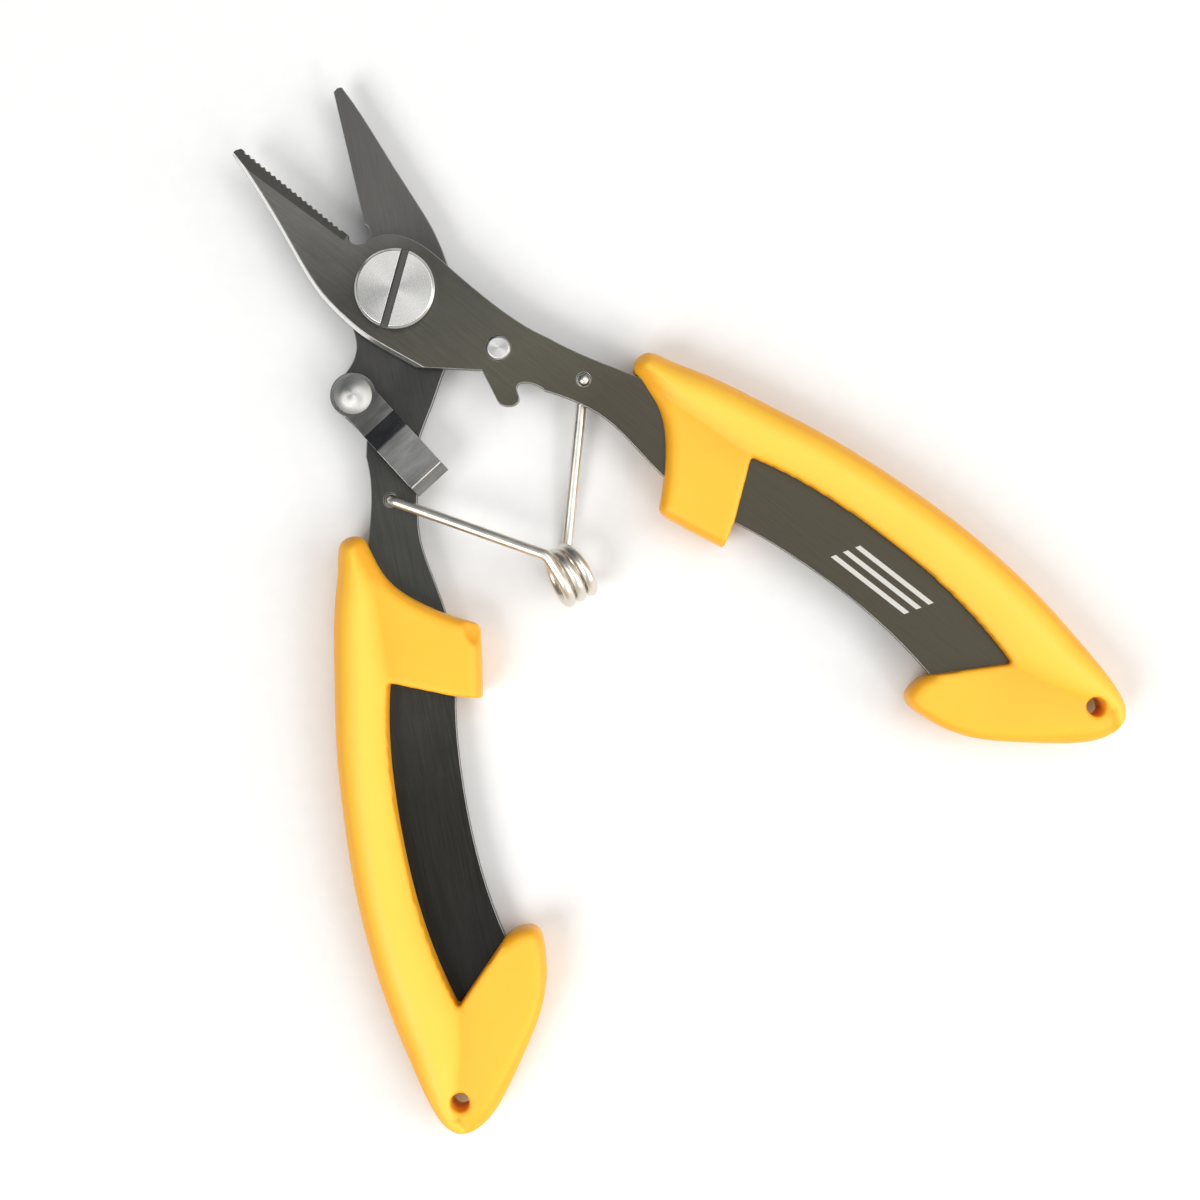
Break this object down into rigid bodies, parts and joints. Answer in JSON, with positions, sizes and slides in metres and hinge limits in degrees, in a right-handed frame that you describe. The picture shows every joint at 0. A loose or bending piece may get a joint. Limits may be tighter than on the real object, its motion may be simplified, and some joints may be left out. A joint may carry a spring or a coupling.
{
  "type": "fishing line pliers",
  "caption": "Fishing line pliers with crossed shear jaws, one serrated, yellow moulded grips over steel tangs, a coiled return spring, a stop pin and a swinging latch.",
  "frame": {"origin": "on the pivot axis, at the back face of the pivot nut", "axes": "+Z along the pivot axis towards the screw head, +Y towards the jaws, +X towards the front blade's handle"},
  "size_m": [0.1076, 0.129, 0.0093],
  "materials": {
    "dark_steel": "dark coated blade steel, semi-gloss, brushed along the arms",
    "grip": "soft matte moulded plastic",
    "stainless": "satin turned stainless steel",
    "spring_steel": "polished sheet steel",
    "spring_wire": "bright drawn spring wire"
  },
  "bodies": {
    "rear_half": {"rear_blade": "dark_steel", "rear_grip": "grip", "pivot_screw": "stainless", "pivot_washer": "stainless", "pivot_nut": "stainless", "latch_rivet": "stainless", "latch_washer": "stainless"},
    "front_half": {"front_blade": "dark_steel", "front_grip": "grip", "stop_pin": "stainless"},
    "latch": {"latch_lever": "spring_steel"},
    "rear_leg": {"spring_rear_leg": "spring_wire"},
    "coil": {"spring_coil": "spring_wire"},
    "front_leg": {"spring_front_leg": "spring_wire"}
  },
  "joints": [
    {"name": "jaw_pivot", "type": "hinge", "parent": "rear_half", "child": "front_half", "pos_m": [0, 0, 0.00453], "axis": [0, 0, -1], "range_deg": [0, 30.5], "stiffness_Nm_per_rad": 0.4},
    {"name": "latch_swing", "type": "hinge", "parent": "rear_half", "child": "latch", "pos_m": [-0.01235, -0.00886, 0.00483], "axis": [0, 0, 1], "range_deg": [0, 9.5]},
    {"name": "rear_leg_turn", "type": "hinge", "parent": "rear_half", "child": "rear_leg", "pos_m": [-0.01554, -0.02342, 0.00453], "axis": [0, 0, -1], "range_deg": [-0.5, 34.62]},
    {"name": "rear_kink_turn", "type": "hinge", "parent": "rear_leg", "child": "coil", "pos_m": [-0.00161, -0.04102, 0.00858], "axis": [0, 0, -1], "range_deg": [-19.37, 0.5]},
    {"name": "front_kink_turn", "type": "hinge", "parent": "coil", "child": "front_leg", "pos_m": [0.0013, -0.04122, 0.00087], "axis": [0, 0, -1], "range_deg": [-20.8, 0.5]}
  ],
  "couplings": [
    {"joint": "rear_leg_turn", "follows": "jaw_pivot", "ratio": 1.1187},
    {"joint": "rear_kink_turn", "follows": "jaw_pivot", "ratio": -0.61871},
    {"joint": "front_kink_turn", "follows": "jaw_pivot", "ratio": -0.66559}
  ]
}
